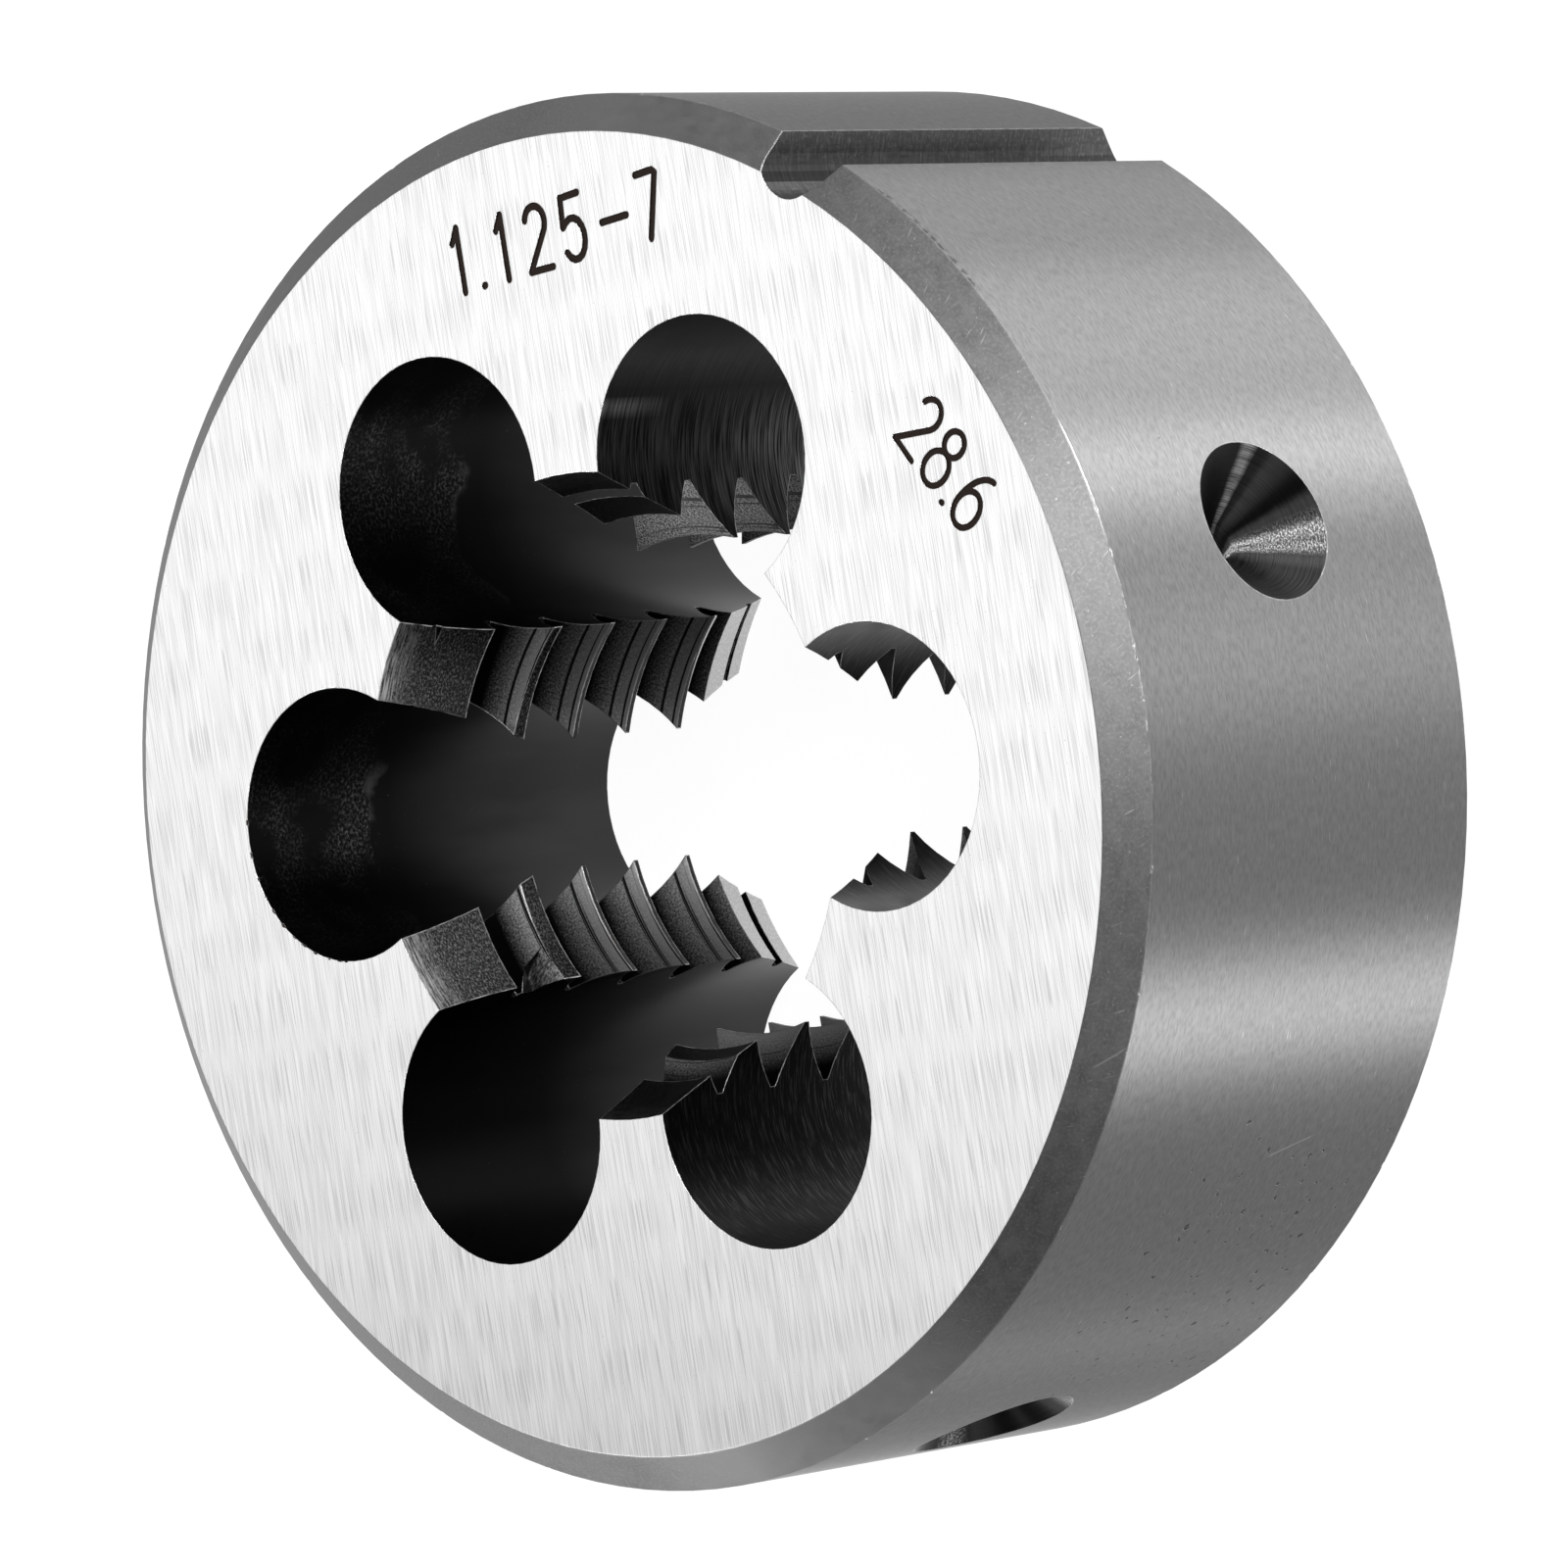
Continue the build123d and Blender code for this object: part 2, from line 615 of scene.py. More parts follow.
def add_prism(work, outline, low, high):
    """A closed prism over an outline, between two heights."""
    rings = []
    for height in (low, high):
        rings.append([work.verts.new((point.x, point.y, height)) for point in outline])
    work.faces.new(list(reversed(rings[0])))
    work.faces.new(rings[1])
    for index, corner in enumerate(rings[0]):
        after = (index + 1) % len(outline)
        work.faces.new([corner, rings[0][after], rings[1][after], rings[1][index]])


def marking_tools():
    """A cutter mesh for each stroke of the marking."""
    tools = []
    written = [
        (inch_numbers(), inch_start, inch_angle, inch_width),
        (millimetre_numbers(), millimetre_start, millimetre_angle, millimetre_width),
    ]
    for strokes, start, angle, width in written:
        turn = Matrix.Rotation(angle, 2)
        for stroke in strokes:
            centre_line = [start + turn @ Vector(point) * MM for point in stroke]
            outline = stroke_outline(centre_line, width)
            work = bmesh.new()
            add_prism(work, outline, thickness - mark_depth, thickness + mark_overrun)
            tools.append(finished(work, "stroke"))
    return tools


def nick_tool(draw, centre, along):
    """A small closed lump, longest along the edge that it nicks and flatter than it is wide."""
    work = bmesh.new()
    bmesh.ops.create_icosphere(work, subdivisions=1, radius=1)
    length = draw.uniform(*nick_length)
    width = draw.uniform(*nick_width)
    spin = Matrix.Rotation(draw.uniform(0, pi), 3, "X")
    turn = along.to_track_quat("X", "Z").to_matrix()
    shape = turn @ spin @ Matrix.Diagonal((length / 2, width / 2, width / 3))
    for vertex in work.verts:
        vertex.co = centre + shape @ (vertex.co * draw.uniform(*nick_jag))
    return finished(work, "nick")


def nicks_round(draw, middle, radius, height, stretches):
    """A cutter mesh for each nick along stretches of a circular edge."""
    tools = []
    for first, last, count in stretches:
        for index in range(count):
            angle = radians(first + (last - first) * (index + draw.random()) / count)
            outward = Vector((cos(angle), sin(angle), 0))
            centre = middle + outward * radius + Vector((0, 0, height))
            tools.append(nick_tool(draw, centre, Vector((-outward.y, outward.x, 0))))
    return tools


def nick_tools():
    """A cutter mesh for each nick of the worn edges."""
    draw = Random(nick_seed)
    base = Vector((0, 0, 0))
    front_edge = thickness - rim_chamfer_height
    tools = nicks_round(draw, base, outer_radius, front_edge, front_edge_nicks)
    tools += nicks_round(draw, base, outer_radius, rim_chamfer_height, rear_edge_nicks)
    left_hole = min(hole_centres(), key=lambda centre: centre.x + centre.y)
    tools += nicks_round(draw, left_hole, chip_hole_radius, thickness, mouth_nicks)
    return tools


def break_tool():
    """A cutter mesh for the corner that broke off one tooth."""
    lift = break_facing * break_depth
    work = bmesh.new()
    for corner in break_corners:
        work.verts.new(corner)
        work.verts.new(corner + lift)
    for point in break_bottom:
        work.verts.new(point)
    bmesh.ops.convex_hull(work, input=work.verts)
    return finished(work, "break")


def carve(mesh, tools):
    """The mesh with each closed cutter taken out of it."""
    work = bmesh.new()
    for tool in tools:
        work.from_mesh(tool)
    body = new_object("carved", mesh)
    cutter = new_object("cutter", finished(work, "cutters"))
    cut = body.modifiers.new("cut", "BOOLEAN")
    cut.operation = "DIFFERENCE"
    cut.solver = "EXACT"
    cut.use_self = True
    cut.object = cutter
    graph = bpy.context.evaluated_depsgraph_get()
    carved = bpy.data.meshes.new_from_object(body.evaluated_get(graph))
    for made in (body, cutter):
        bpy.data.objects.remove(made)
    return carved


def close_graze(work):
    """Lays the thread flush with the front entry cone where it only grazes it."""
    for vertex in work.verts:
        radius = vertex.co.to_2d().length
        cone_radius = front_entry_radius - (thickness - vertex.co.z) * tan(entry_cone_angle)
        near_face = vertex.co.z > thickness - graze_height
        grazed = 0 < radius - cone_radius < thread_graze
        if near_face and grazed and radius < root_radius + facet_slack:
            vertex.co.x *= cone_radius / radius
            vertex.co.y *= cone_radius / radius


def steel_mesh():
    """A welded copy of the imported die's mesh."""
    mesh = frame["nodes"][DIE].data.copy()
    work = bmesh.new()
    work.from_mesh(mesh)
    bmesh.ops.remove_doubles(work, verts=work.verts, dist=weld_distance)
    close_graze(work)
    work.to_mesh(mesh)
    work.free()
    return mesh


def dress(mesh, finishes):
    """Gives each facet its finish, and each corner its true normal and its place in the lay."""
    kinds = surfaces()
    names = []
    mesh.materials.clear()
    for kind in kinds:
        if kind.material not in names:
            names.append(kind.material)
            mesh.materials.append(finishes[kind.material])
    lay = mesh.uv_layers.new(name=LAY)
    normals = []
    for facet in mesh.polygons:
        facet.use_smooth = True
        kind = next(kind for kind in kinds if kind.holds(facet.center, facet.normal))
        facet.material_index = names.index(kind.material)
        for corner in facet.loop_indices:
            point = mesh.vertices[mesh.loops[corner].vertex_index].co
            normals.append(tuple(kind.normal(point) or facet.normal))
            across, along = kind.lay(point, facet.center)
            lay.data[corner].uv = (across / MM, along / MM)
    mesh.normals_split_custom_set(normals)


def feed(tree, node, inputs):
    """Gives a node's inputs their values, or links them to other nodes' outputs."""
    for name, value in inputs.items():
        if isinstance(value, bpy.types.NodeSocket):
            tree.links.new(value, node.inputs[name])
        else:
            node.inputs[name].default_value = value


def add_node(tree, kind, inputs=None, **settings):
    """A new node of a material, with its settings and inputs."""
    node = tree.nodes.new(kind)
    for name, value in settings.items():
        setattr(node, name, value)
    feed(tree, node, inputs or {})
    return node


class Material:
    """A node material whose marks follow the lay, in millimetres across and along them."""

    def __init__(self, name, colour, roughness, anisotropic=0.0, edge_reach=0.0):
        self.material = bpy.data.materials.new(name)
        self.material.use_nodes = True
        self.shader = self.material.node_tree.nodes["Principled BSDF"]
        self.put("Base Color", (*colour, 1))
        self.put("Roughness", roughness)
        self.put("Metallic", 1.0)
        self.put("Anisotropic", anisotropic)
        self.lay = self.node("ShaderNodeUVMap", uv_map=LAY).outputs["UV"]
        if anisotropic > 0:
            tangent = self.node("ShaderNodeTangent", direction_type="UV_MAP", uv_map=LAY)
            self.put("Tangent", tangent.outputs["Tangent"])
        if edge_reach > 0:
            self.edge = self.round_edges(edge_reach)

    def node(self, kind, inputs=None, **settings):
        """A new node of this material."""
        return add_node(self.material.node_tree, kind, inputs, **settings)

    def put(self, name, value):
        """Gives the shader's input of that name a value or another node's output."""
        feed(self.material.node_tree, self.shader, {name: value})

    def current(self, name):
        """What the shader's input of that name has now: an output linked to it, or a value."""
        socket = self.shader.inputs[name]
        return socket.links[0].from_socket if socket.is_linked else socket.default_value

    def round_edges(self, reach):
        """Rounds the shading within reach millimetres of an edge, and says how near it is."""
        bevel = self.node("ShaderNodeBevel", {"Radius": reach * MM}, samples=edge_samples)
        rounded = bevel.outputs["Normal"]
        sharp = self.node("ShaderNodeNewGeometry").outputs["Normal"]
        self.put("Normal", rounded)
        turn = self.node("ShaderNodeVectorMath", {0: rounded, 1: sharp}, operation="DOT_PRODUCT")
        return self.spread(turn.outputs["Value"], *edge_turn)

    def placed(self, location, turn, scale=(1, 1, 1)):
        """The lay as seen from a location, turned by degrees and scaled."""
        spin = (0, 0, radians(turn))
        inputs = {"Vector": self.lay, "Location": location, "Rotation": spin, "Scale": scale}
        return self.node("ShaderNodeMapping", inputs, vector_type="TEXTURE").outputs["Vector"]

    def noise(self, across, along, detail=3.0, roughness=0.5, shift=0.0, turn=0.0):
        """Noise of so many features a millimetre across and along the lay, turned by degrees."""
        place = self.placed((shift, shift, shift), turn, (1 / across, 1 / along, 1))
        inputs = {"Vector": place, "Scale": 1, "Detail": detail, "Roughness": roughness}
        return self.node("ShaderNodeTexNoise", inputs).outputs["Fac"]

    def part(self, vector, axis):
        """One part of a vector."""
        return self.node("ShaderNodeSeparateXYZ", {"Vector": vector}).outputs[axis]

    def lay_part(self, axis):
        """Distance across the lay, X, or along it, Y, in millimetres."""
        return self.part(self.lay, axis)

    def around(self, radius):
        """Angle from the seam in degrees, on a surface whose lay is measured at that radius."""
        return self.spread(self.lay_part("Y"), 0, 2 * pi * radius / MM, 0, 360)

    def spread(self, value, low, high, to_low=0.0, to_high=1.0):
        """Maps low..high to to_low..to_high, held at the ends."""
        ends = {"From Min": low, "From Max": high, "To Min": to_low, "To Max": to_high}
        return self.node("ShaderNodeMapRange", {"Value": value, **ends}).outputs["Result"]

    def combine(self, operation, first, second):
        """Two values put together by a math operation."""
        inputs = {0: first, 1: second}
        return self.node("ShaderNodeMath", inputs, operation=operation).outputs["Value"]

    def times(self, first, second):
        """The product of two values."""
        return self.combine("MULTIPLY", first, second)

    def lack(self, share):
        """One less a share."""
        return self.spread(share, 1, 0)

    def fraction(self, share, most):
        """A share scaled to be that much at most."""
        return self.spread(share, 0, 1, 0, most)

    def stretch(self, value, first, last, fade):
        """One from first to last, falling to nothing over fade at either end."""
        rising = self.spread(value, first - fade, first)
        return self.times(rising, self.spread(value, last + fade, last))

    def tint(self, factor, colour):
        """Mixes another colour over the base colour by factor."""
        inputs = {"A": self.current("Base Color"), "B": (*colour, 1), "Factor": factor}
        mix = self.node("ShaderNodeMix", inputs, data_type="RGBA")
        self.put("Base Color", mix.outputs["Result"])

    def marks(self, pattern, low, high, level):
        """Tints with the grey of level, more as a pattern goes from low to high."""
        self.tint(self.spread(pattern, low, high), grey(level))

    def rough(self, factor, low, high):
        """Lets the roughness range from low to high with factor."""
        self.put("Roughness", self.spread(factor, noise_low, noise_high, low, high))

    def bump(self, height, depth):
        """Raises the surface by height times depth millimetres."""
        inputs = {"Height": height, "Distance": depth * MM, "Normal": self.current("Normal")}
        self.put("Normal", self.node("ShaderNodeBump", inputs).outputs["Normal"])

    def specks(self, size, share, colour, shift=0.0):
        """Scatters spots of another colour, of a size in millimetres, more with a larger share."""
        spots = self.noise(1 / size, 1 / size, detail=1, shift=shift)
        self.tint(self.spread(spots, 1 - share, 1 - share + speck_fade), colour)

    def pit(self, share):
        """Small dark pits, where share is near one."""
        spots = self.noise(2.1, 1.7, detail=2, shift=13)
        kept = self.times(spots, self.spread(share, 0, 1, 0.85, 1))
        pits = self.spread(kept, 0.66, 0.69)
        self.tint(pits, grey(0.1))
        self.bump(self.lack(pits), 0.05)

    def scratch(self, middle, length, turn, level):
        """One straight scratch, of steel bared to the grey of level."""
        place = self.placed((*middle, 0), turn)
        line = self.stretch(self.part(place, "X"), 0, 0, scratch_half_width)
        reach = self.stretch(self.part(place, "Y"), -length / 2, length / 2, scratch_fade)
        self.tint(self.times(line, reach), grey(level))

    def polish(self, factor, roughness):
        """Mixes another roughness over the roughness by factor."""
        inputs = {"A": self.current("Roughness"), "B": roughness, "Factor": factor}
        mix = self.node("ShaderNodeMix", inputs, data_type="FLOAT")
        self.put("Roughness", mix.outputs["Result"])

    def bare(self, factor, colour, roughness=outer_bared):
        """Bares steel of another colour and roughness by factor."""
        self.tint(factor, colour)
        self.polish(factor, roughness)

    def wear(self, colour, share=1.0, roughness=outer_bared):
        """Bares the steel along the edges, in broken lines."""
        breaks = self.noise(1.5, 1.5, detail=4, roughness=0.6)
        bared = self.times(self.edge, self.spread(breaks, 0.35, 0.55, 0, share))
        self.bare(bared, colour, roughness)

    def worn_rim_and_highlight(self, radius):
        """Bares the rim's edge in a row of dots and faintly elsewhere, and paints a highlight
        along it in one solid strip.
        """
        angle = self.around(radius)
        dots = self.spread(self.noise(0.5, 1.1, detail=2, shift=8), 0.5, 0.56)
        row = self.times(self.stretch(angle, *worn_dots), dots)
        strip = self.stretch(angle, *highlight_strip)
        self.wear(grey(0.6), share=0.25)
        self.bare(self.times(self.edge, row), grey(0.9))
        # Painted highlight: one solid bright strip along the edge
        self.bare(self.times(self.edge, strip), grey(1.0))


def grey(level):
    """The colour of a plain grey."""
    return (level, level, level)


def ground_face():
    """Flat faces, ground bright in straight fine marks."""
    steel = Material("ground_face", grey(0.7), 0.34, anisotropic=0.6, edge_reach=0.06)
    fine = steel.noise(19, 0.22, detail=0)
    strands = steel.noise(7, 0.18, detail=2, roughness=0.6, shift=7)
    scored = steel.noise(17, 0.3, detail=0, shift=2, turn=-2)
    steel.marks(fine, 0.4, 0.54, 0.86)
    steel.marks(strands, 0.5, 0.95, 0.83)
    steel.marks(scored, 0.6, 0.68, 0.6)
    steel.specks(0.1, 0.26, grey(0.4), shift=3)
    steel.rough(strands, 0.33, 0.36)
    steel.wear(grey(1.0))
    steel.bump(fine, 0.003)
    return steel.material


def ground_rim():
    """The cylinder, ground in fine marks that run round it, with a ragged edge by the notch.

    Its grey is painted shade: darker than the face's, though the steel is the same.
    """
    # Painted shade: the same steel as the face, given a much darker grey
    steel = Material("ground_rim", grey(0.22), 0.47, anisotropic=1.0, edge_reach=0.14)
    fine = steel.noise(9, 2.2, detail=2, roughness=0.5)
    strands = steel.noise(3.5, 0.7, detail=4, roughness=0.6, shift=3, turn=2)
    scratches = steel.noise(10, 1.2, detail=1, shift=9, turn=-6)
    angle = steel.around(outer_radius)
    height = steel.lay_part("X")
    front_edge = (thickness - rim_chamfer_height) / MM
    front = steel.spread(height, front_edge - ragged_depth[0], front_edge - ragged_depth[1])
    chips = steel.spread(steel.noise(2.5, 2.5, detail=4, roughness=0.6, shift=1), 0.46, 0.54)
    ragged = steel.times(steel.stretch(angle, *ragged_edge), chips)
    pitted = steel.times(steel.stretch(angle, *pitted_side), steel.stretch(height, *pitted_height))
    steel.marks(fine, 0.36, 0.64, 0.28)
    steel.marks(strands, 0.5, 0.8, 0.31)
    steel.marks(scratches, 0.7, 0.8, 0.42)
    steel.specks(0.1, 0.26, grey(0.12), shift=5)
    steel.tint(steel.times(front, ragged), grey(0.1))
    steel.scratch(*rim_scratch)
    steel.rough(strands, 0.46, 0.49)
    steel.worn_rim_and_highlight(outer_radius)
    steel.bump(fine, 0.003)
    steel.pit(pitted)
    return steel.material


def turned_chamfer():
    """The rim chamfers, a duller and mottled grey, with painted shade and painted light on
    stretches.
    """
    steel = Material("turned_chamfer", grey(0.13), 0.42, edge_reach=0.14)
    mottle = steel.noise(1.6, 0.9, detail=5, roughness=0.7)
    grain = steel.noise(8, 6, detail=2, shift=4)
    scratches = steel.noise(8, 0.8, detail=1, shift=6, turn=60)
    steel.marks(mottle, 0.35, 0.65, 0.168)
    steel.marks(grain, 0.45, 0.7, 0.19)
    steel.marks(scratches, 0.7, 0.78, 0.28)
    steel.specks(0.16, 0.28, grey(0.3), shift=2)
    angle = steel.around(outer_radius - rim_chamfer_width)
    # Painted shade on one stretch of the chamfers, painted light on two others
    steel.tint(steel.fraction(steel.stretch(angle, *shaded_chamfer_side), 0.8), grey(0.03))
    for lit_chamfer_side in lit_chamfer_sides:
        steel.tint(steel.fraction(steel.stretch(angle, *lit_chamfer_side), 0.75), grey(0.34))
    steel.scratch(*chamfer_scratch)
    steel.rough(mottle, 0.39, 0.45)
    steel.worn_rim_and_highlight(outer_radius - rim_chamfer_width)
    steel.bump(grain, 0.003)
    return steel.material


def front_cone():
    """The front entry cone, dark and grainy, with turning marks that show most near the face."""
    steel = Material("front_cone", grey(0.01), 0.34, edge_reach=0.09)
    grain = steel.noise(13, 5, detail=3, roughness=0.75)
    turning = steel.noise(12, 0.8, detail=2, shift=2)
    near_face = steel.spread(steel.lay_part("X"), *cone_marks)
    steel.marks(grain, 0.5, 0.62, 0.085)
    steel.tint(steel.times(steel.spread(turning, 0.4, 0.65), near_face), grey(0.2))
    steel.rough(grain, 0.26, 0.44)
    steel.wear(grey(1.0), roughness=inner_bared)
    steel.bump(grain, 0.012)
    return steel.material


def thread_flank(name, crest, grit, crest_sheen, edge=0.45):
    """The flanks, with painted shade at the root, painted light on some lands, and lines along
    the thread.

    grit is the grey of the grains on the lands with painted light, crest that of the painted
    highlight band above them on the lands in the span that follows grit, and edge that of the
    bared edges.
    """
    steel = Material(name, grey(hardened_and_shade), 0.34, edge_reach=0.09 if edge else 0)
    half_turn = pi * root_radius / MM
    angle = steel.spread(steel.lay_part("Y"), -half_turn, half_turn, -180, 180)
    painted_light = steel.stretch(angle, *lit_lands)
    radius = steel.lay_part("X")
    # Painted shade: the grains fade to black towards the root
    rise = steel.spread(radius, root_radius / MM - dark_root, crest_radius / MM)
    grain = steel.noise(12, 8, detail=3, roughness=0.75)
    grains = steel.spread(grain, 0.42, 0.68)
    lines = steel.noise(4, 0.03, detail=2, shift=6)
    band = steel.times(rise, rise)
    # Painted light on some lands, and a painted highlight band towards the crest
    steel.tint(steel.times(grains, steel.lack(painted_light)), grey(0.13))
    steel.tint(steel.times(steel.times(grains, rise), painted_light), grey(grit))
    steel.tint(steel.times(band, steel.stretch(angle, *crest_sheen)), grey(crest))
    steel.marks(lines, 0.6, 0.64, 0.01)
    steel.rough(grain, 0.28, 0.42)
    if edge:
        steel.wear(grey(edge), roughness=inner_bared)
    steel.bump(grain, 0.013)
    return steel.material


def chip_hole(name, rear_light=0.032, scores=0.0, streaks=0.0, ring=0.0):
    """A chip hole, near-black from hardening and as painted shade, with painted light towards
    the rear up to a grey given after its name.

    scores is the grey of the fine scores round it, streaks that of its reaming marks, on one
    side, with a painted highlight near the front, and ring that of the rough front part, which
    ends where a drill stopped. Its lay has the height in millimetres, as a negative number.
    """
    steel = Material(name, grey(hardened_and_shade), 0.34, edge_reach=0.05)
    fall = steel.lay_part("X")
    cloud = steel.noise(0.07, 0.3, detail=3)
    if streaks:
        side = steel.around(chip_hole_radius)
        reamed = steel.noise(9, 0.3, detail=3, roughness=0.6, shift=4)
        scraped = steel.spread(side, *reamed_side, 0.05, 1)
        near_front = steel.spread(fall, *(-height for height in reamed_highlight_height))
        # A painted highlight along one line of the hole, near the front
        gleam = steel.times(steel.stretch(side, *reamed_highlight), near_front)
        steel.tint(steel.times(steel.spread(reamed, 0.4, 0.66), scraped), grey(streaks))
        steel.tint(steel.times(gleam, steel.spread(reamed, 0.3, 0.6)), grey(0.3))
    else:
        # Painted light, brightest towards the rear of the hole
        painted_light = steel.spread(fall, *(-share * thickness / MM for share in hole_rear_light))
        steel.tint(painted_light, grey(rear_light))
        steel.tint(steel.times(painted_light, steel.spread(cloud, 0.4, 0.7)), grey(rear_light * 1.4))
    if scores:
        scored = steel.noise(8, 0.6, detail=3, roughness=0.7, shift=1)
        steel.marks(scored, 0.5, 0.64, scores)
    if ring:
        waver = steel.noise(0.3, 0.3, detail=4, shift=5)
        stop = steel.combine("ADD", fall, steel.spread(waver, noise_low, noise_high, *drill_stop))
        rough_part = steel.spread(stop, 0.1, -0.1)
        dots = steel.spread(steel.noise(6, 5, detail=4, roughness=0.7, shift=2), 0.48, 0.7)
        patch = steel.spread(steel.noise(0.35, 0.3, detail=3, shift=9), 0.4, 0.6)
        steel.tint(steel.times(steel.times(dots, patch), rough_part), grey(ring))
        lip = steel.times(steel.stretch(stop, 0, 0, 0.45), steel.spread(cloud, 0.5, 0.62))
        steel.tint(lip, grey(ring * 0.6))
    steel.specks(0.15, 0.25, grey(0.05), shift=6)
    steel.rough(cloud, 0.3, 0.4)
    steel.wear(grey(0.8), roughness=inner_bared)
    return steel.material


def dimple(name, highlight_spans, sheen_span, line):
    """A screw dimple, turned with a pointed drill, dark, with highlights painted on it by angle.

    Its arguments give the spans in which each painted highlight comes up and dies away, a
    stretch where the rings are painted lighter, and line a narrow painted highlight.
    """
    steel = Material(name, grey(0.009), 0.2, anisotropic=0.9, edge_reach=0.06)
    side = steel.around(dimple_depth)
    rings = steel.noise(12, 0.2, detail=3, roughness=0.7)
    ring = steel.spread(rings, noise_low, noise_high)
    grain = steel.noise(14, 5, detail=3, roughness=0.7, shift=4)
    steel.tint(ring, grey(0.018))
    # A stretch of rings painted lighter, and a narrow painted highlight
    steel.tint(steel.times(steel.stretch(side, *sheen_span), ring), grey(0.09))
    steel.tint(steel.times(steel.stretch(side, *line), ring), grey(0.3))
    # Painted highlights, with bright grains in them
    for start, end in highlight_spans:
        painted_light = steel.times(steel.spread(side, *start), steel.spread(side, *end))
        steel.tint(painted_light, grey(0.035))
        steel.tint(steel.times(painted_light, steel.spread(grain, 0.48, 0.62)), grey(0.33))
    steel.rough(grain, 0.27, 0.38)
    steel.wear(grey(1.0), share=0.5)
    steel.bump(rings, 0.001)
    steel.bump(grain, 0.0018)
    return steel.material


def milled(name, level):
    """A part of the milled notch, with the cutter's dotted marks across it, and a dark grey
    painted by the way it faces, as light and shade.
    """
    steel = Material(name, grey(level), 0.4, edge_reach=0.07)
    rows = steel.noise(1.5, 6, detail=2, roughness=0.6)
    swept = steel.noise(7, 0.6, detail=2, shift=3)
    dots = steel.noise(6, 6, detail=2, shift=5)
    steel.marks(rows, 0.45, 0.65, level * 1.5)
    steel.marks(swept, 0.5, 0.7, level * 0.9)
    steel.marks(dots, 0.56, 0.72, level * 1.9)
    steel.rough(rows, 0.35, 0.45)
    steel.wear(grey(0.7), share=0.6)
    steel.bump(dots, 0.006)
    return steel.material


def plain_steel(name, level, roughness, edge, relief=0.004, grit=10, glint=1.9):
    """Plain steel with its edges bared to the grey of edge, or not where that is nothing.

    It has grit grains a millimetre, which are glint times as bright as the rest.
    """
    steel = Material(name, grey(level), roughness, edge_reach=0.08 if edge else 0)
    fine = steel.noise(grit, grit * 0.6, detail=3, roughness=0.6)
    steel.marks(fine, 0.45, 0.7, level * glint)
    steel.rough(fine, roughness - 0.05, roughness + 0.08)
    if edge:
        steel.wear(grey(edge), roughness=inner_bared)
    steel.bump(fine, relief)
    return steel.material


def mark():
    """The marking, burnt dark brown."""
    burnt = Material("mark", (0.032, 0.024, 0.021), 0.6)
    grain = burnt.noise(8, 8, detail=3, roughness=0.7)
    burnt.tint(burnt.spread(grain, 0.45, 0.75), (0.06, 0.045, 0.04))
    burnt.rough(grain, 0.5, 0.7)
    burnt.bump(grain, 0.01)
    return burnt.material


def materials():
    """Every material, by its name."""
    made = [
        ground_face(),
        ground_rim(),
        turned_chamfer(),
        plain_steel("thread_crest", 0.025, 0.35, 1.0),
        plain_steel("thread_root", 0.012, 0.4, 0),
        thread_flank("thread_flank", 0.4, 0.75, crest_sheen_lands),
        thread_flank("torn_flank", 0.6, 1.0, lit_lands, edge=0),
        # Painted shade on one flank, and the brightest painted light on two others
        plain_steel("black_flank", 0.003, 0.4, 0),
        thread_flank("bright_flank", 0.6, 1.0, lit_lands),
        front_cone(),
        plain_steel("rear_cone", 0.36, 0.35, 0.9),
        chip_hole("plain_hole"),
        # Two chip holes get half the painted light towards the rear
        chip_hole("dark_hole", rear_light=0.016, scores=0.05),
        chip_hole("reamed_hole", streaks=0.15),
        chip_hole("drilled_hole", ring=0.1),
        dimple("dimple", dimple_highlights, dimple_sheen, dimple_narrow_highlight),
        dimple("lower_dimple", lower_highlights, lower_sheen, dimple_narrow_highlight),
        # The notch's parts get lighter or darker greys by the way they face: painted light and
        # shade
        milled("notch_wall", 0.085),
        milled("notch_foot", 0.055),
        milled("notch_floor", 0.03),
        milled("notch_far_side", 0.11),
        mark(),
        plain_steel("broken_floor", 0.1, 0.35, 0, relief=0.03, grit=8, glint=6),
        # Painted shade: the wall of the break is near-black
        plain_steel("broken_wall", 0.008, 0.5, 0),
        plain_steel("bare_steel", 0.25, 0.35, 0.6),
    ]
    return {material.name: material for material in made}


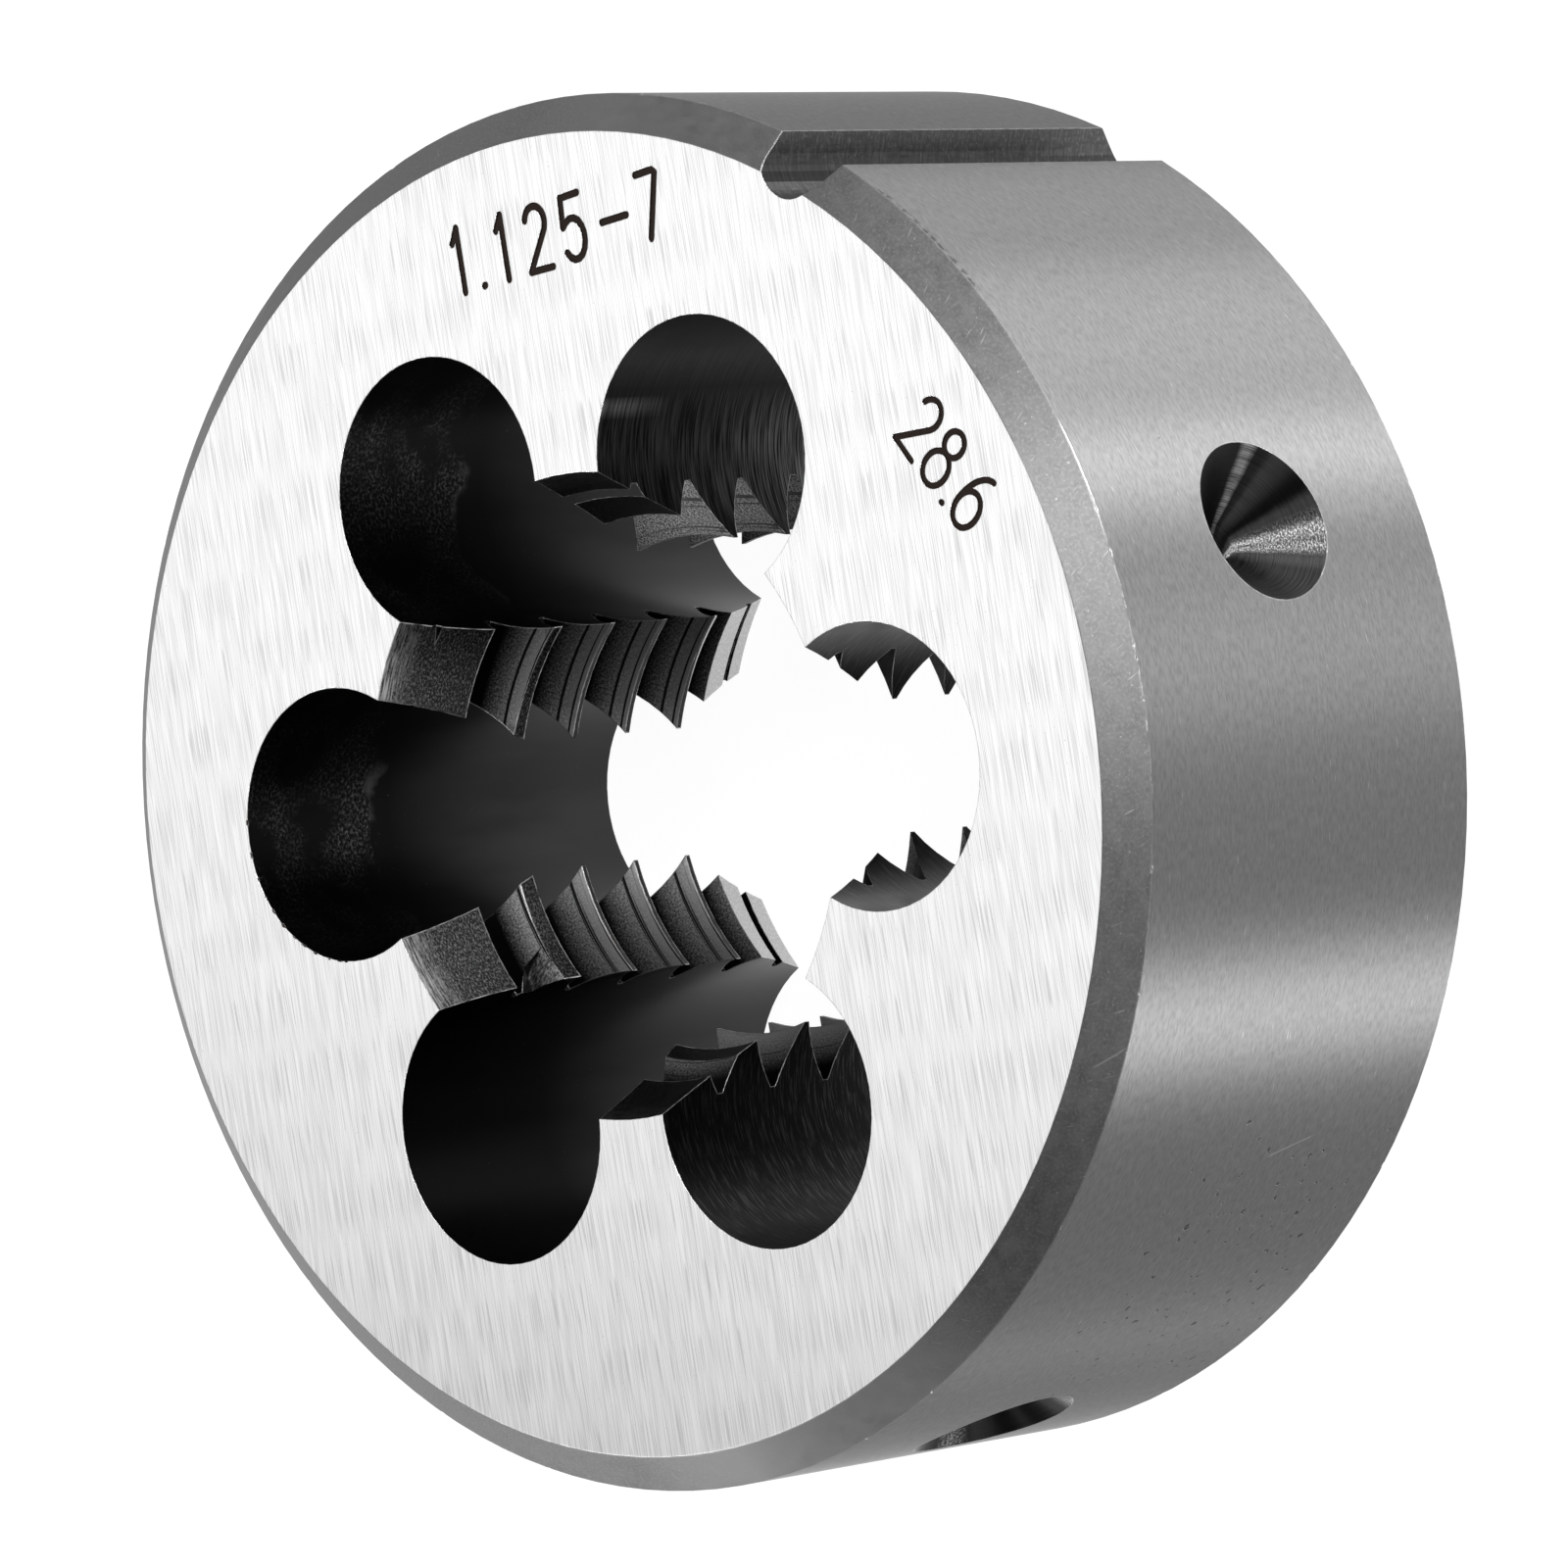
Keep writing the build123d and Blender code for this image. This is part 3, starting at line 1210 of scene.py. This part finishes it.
def floor():
    """A plain pale floor. What looks straight at it sees it lighter, with the shadow kept."""
    half = floor_half_width
    mesh = bpy.data.meshes.new("floor")
    corners = [(-half, -half, 0), (half, -half, 0), (half, half, 0), (-half, half, 0)]
    mesh.from_pydata(corners, [], [(0, 1, 2, 3)])
    made = new_object("floor", mesh)
    material = bpy.data.materials.new("floor")
    material.use_nodes = True
    tree = material.node_tree
    shader = tree.nodes["Principled BSDF"]
    feed(tree, shader, {
        "Base Color": (*grey(floor_grey), 1),
        "Roughness": floor_roughness,
        "Specular IOR Level": floor_specular,
    })
    glow = add_node(tree, "ShaderNodeEmission", {"Color": (1, 1, 1, 1), "Strength": glow_strength})
    path = add_node(tree, "ShaderNodeLightPath")
    seen = path.outputs["Is Camera Ray"]
    for ray in ("Is Glossy Ray", "Is Transmission Ray"):
        inputs = {0: seen, 1: path.outputs[ray]}
        seen = add_node(tree, "ShaderNodeMath", inputs, operation="MAXIMUM").outputs["Value"]
    share = add_node(tree, "ShaderNodeMath", {0: seen, 1: glow_share}, operation="MULTIPLY")
    lit = {"Fac": share.outputs["Value"], 1: shader.outputs["BSDF"], 2: glow.outputs["Emission"]}
    mix = add_node(tree, "ShaderNodeMixShader", lit)
    feed(tree, tree.nodes["Material Output"], {"Surface": mix.outputs["Shader"]})
    mesh.materials.append(material)


def direction(azimuth, elevation):
    """Unit vector at that azimuth from +X and elevation above the floor, in degrees."""
    turn = radians(azimuth)
    rise = radians(elevation)
    return Vector((cos(turn) * cos(rise), sin(turn) * cos(rise), sin(rise)))


def softbox(name, azimuth, elevation, distance, width, height, radiance):
    """A soft lamp aimed at the die."""
    lamp = bpy.data.lights.new(name, "AREA")
    lamp.shape = "RECTANGLE"
    lamp.size = width
    lamp.size_y = height
    lamp.energy = radiance * pi * width * height
    made = new_object(name, lamp)
    middle = Vector((0, 0, thickness / 2))
    away = direction(azimuth, elevation)
    made.location = middle + away * distance
    made.rotation_euler = away.to_track_quat("Z", "Y").to_euler()


def lighting():
    """The world's faint light, and the lamps."""
    world = bpy.data.worlds.new("studio")
    world.use_nodes = True
    back = world.node_tree.nodes["Background"]
    back.inputs["Color"].default_value = (1, 1, 1, 1)
    back.inputs["Strength"].default_value = world_strength
    bpy.context.scene.world = world
    for name, measures in lamps.items():
        softbox(name, *measures)


def camera():
    """The camera, which looks at the die as the photograph does."""
    lens = bpy.data.cameras.new("camera")
    lens.sensor_width = camera_sensor
    lens.lens = camera_lens
    lens.clip_start = nearest_seen
    made = new_object("camera", lens)
    made.location = camera_place
    look = (camera_aim - camera_place).to_track_quat("-Z", "Y").to_matrix()
    made.rotation_euler = (look @ Matrix.Rotation(camera_roll, 3, "Z")).to_euler()
    bpy.context.scene.camera = made


def main():
    """Makes the dressed die and its studio."""
    mesh = carve(steel_mesh(), marking_tools() + nick_tools() + [break_tool()])
    dress(mesh, materials())
    die = new_object("steel_die", mesh)
    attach(die, "root")
    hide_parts(DIE)
    floor()
    lighting()
    camera()
    bpy.context.scene.view_settings.view_transform = "Standard"


main()
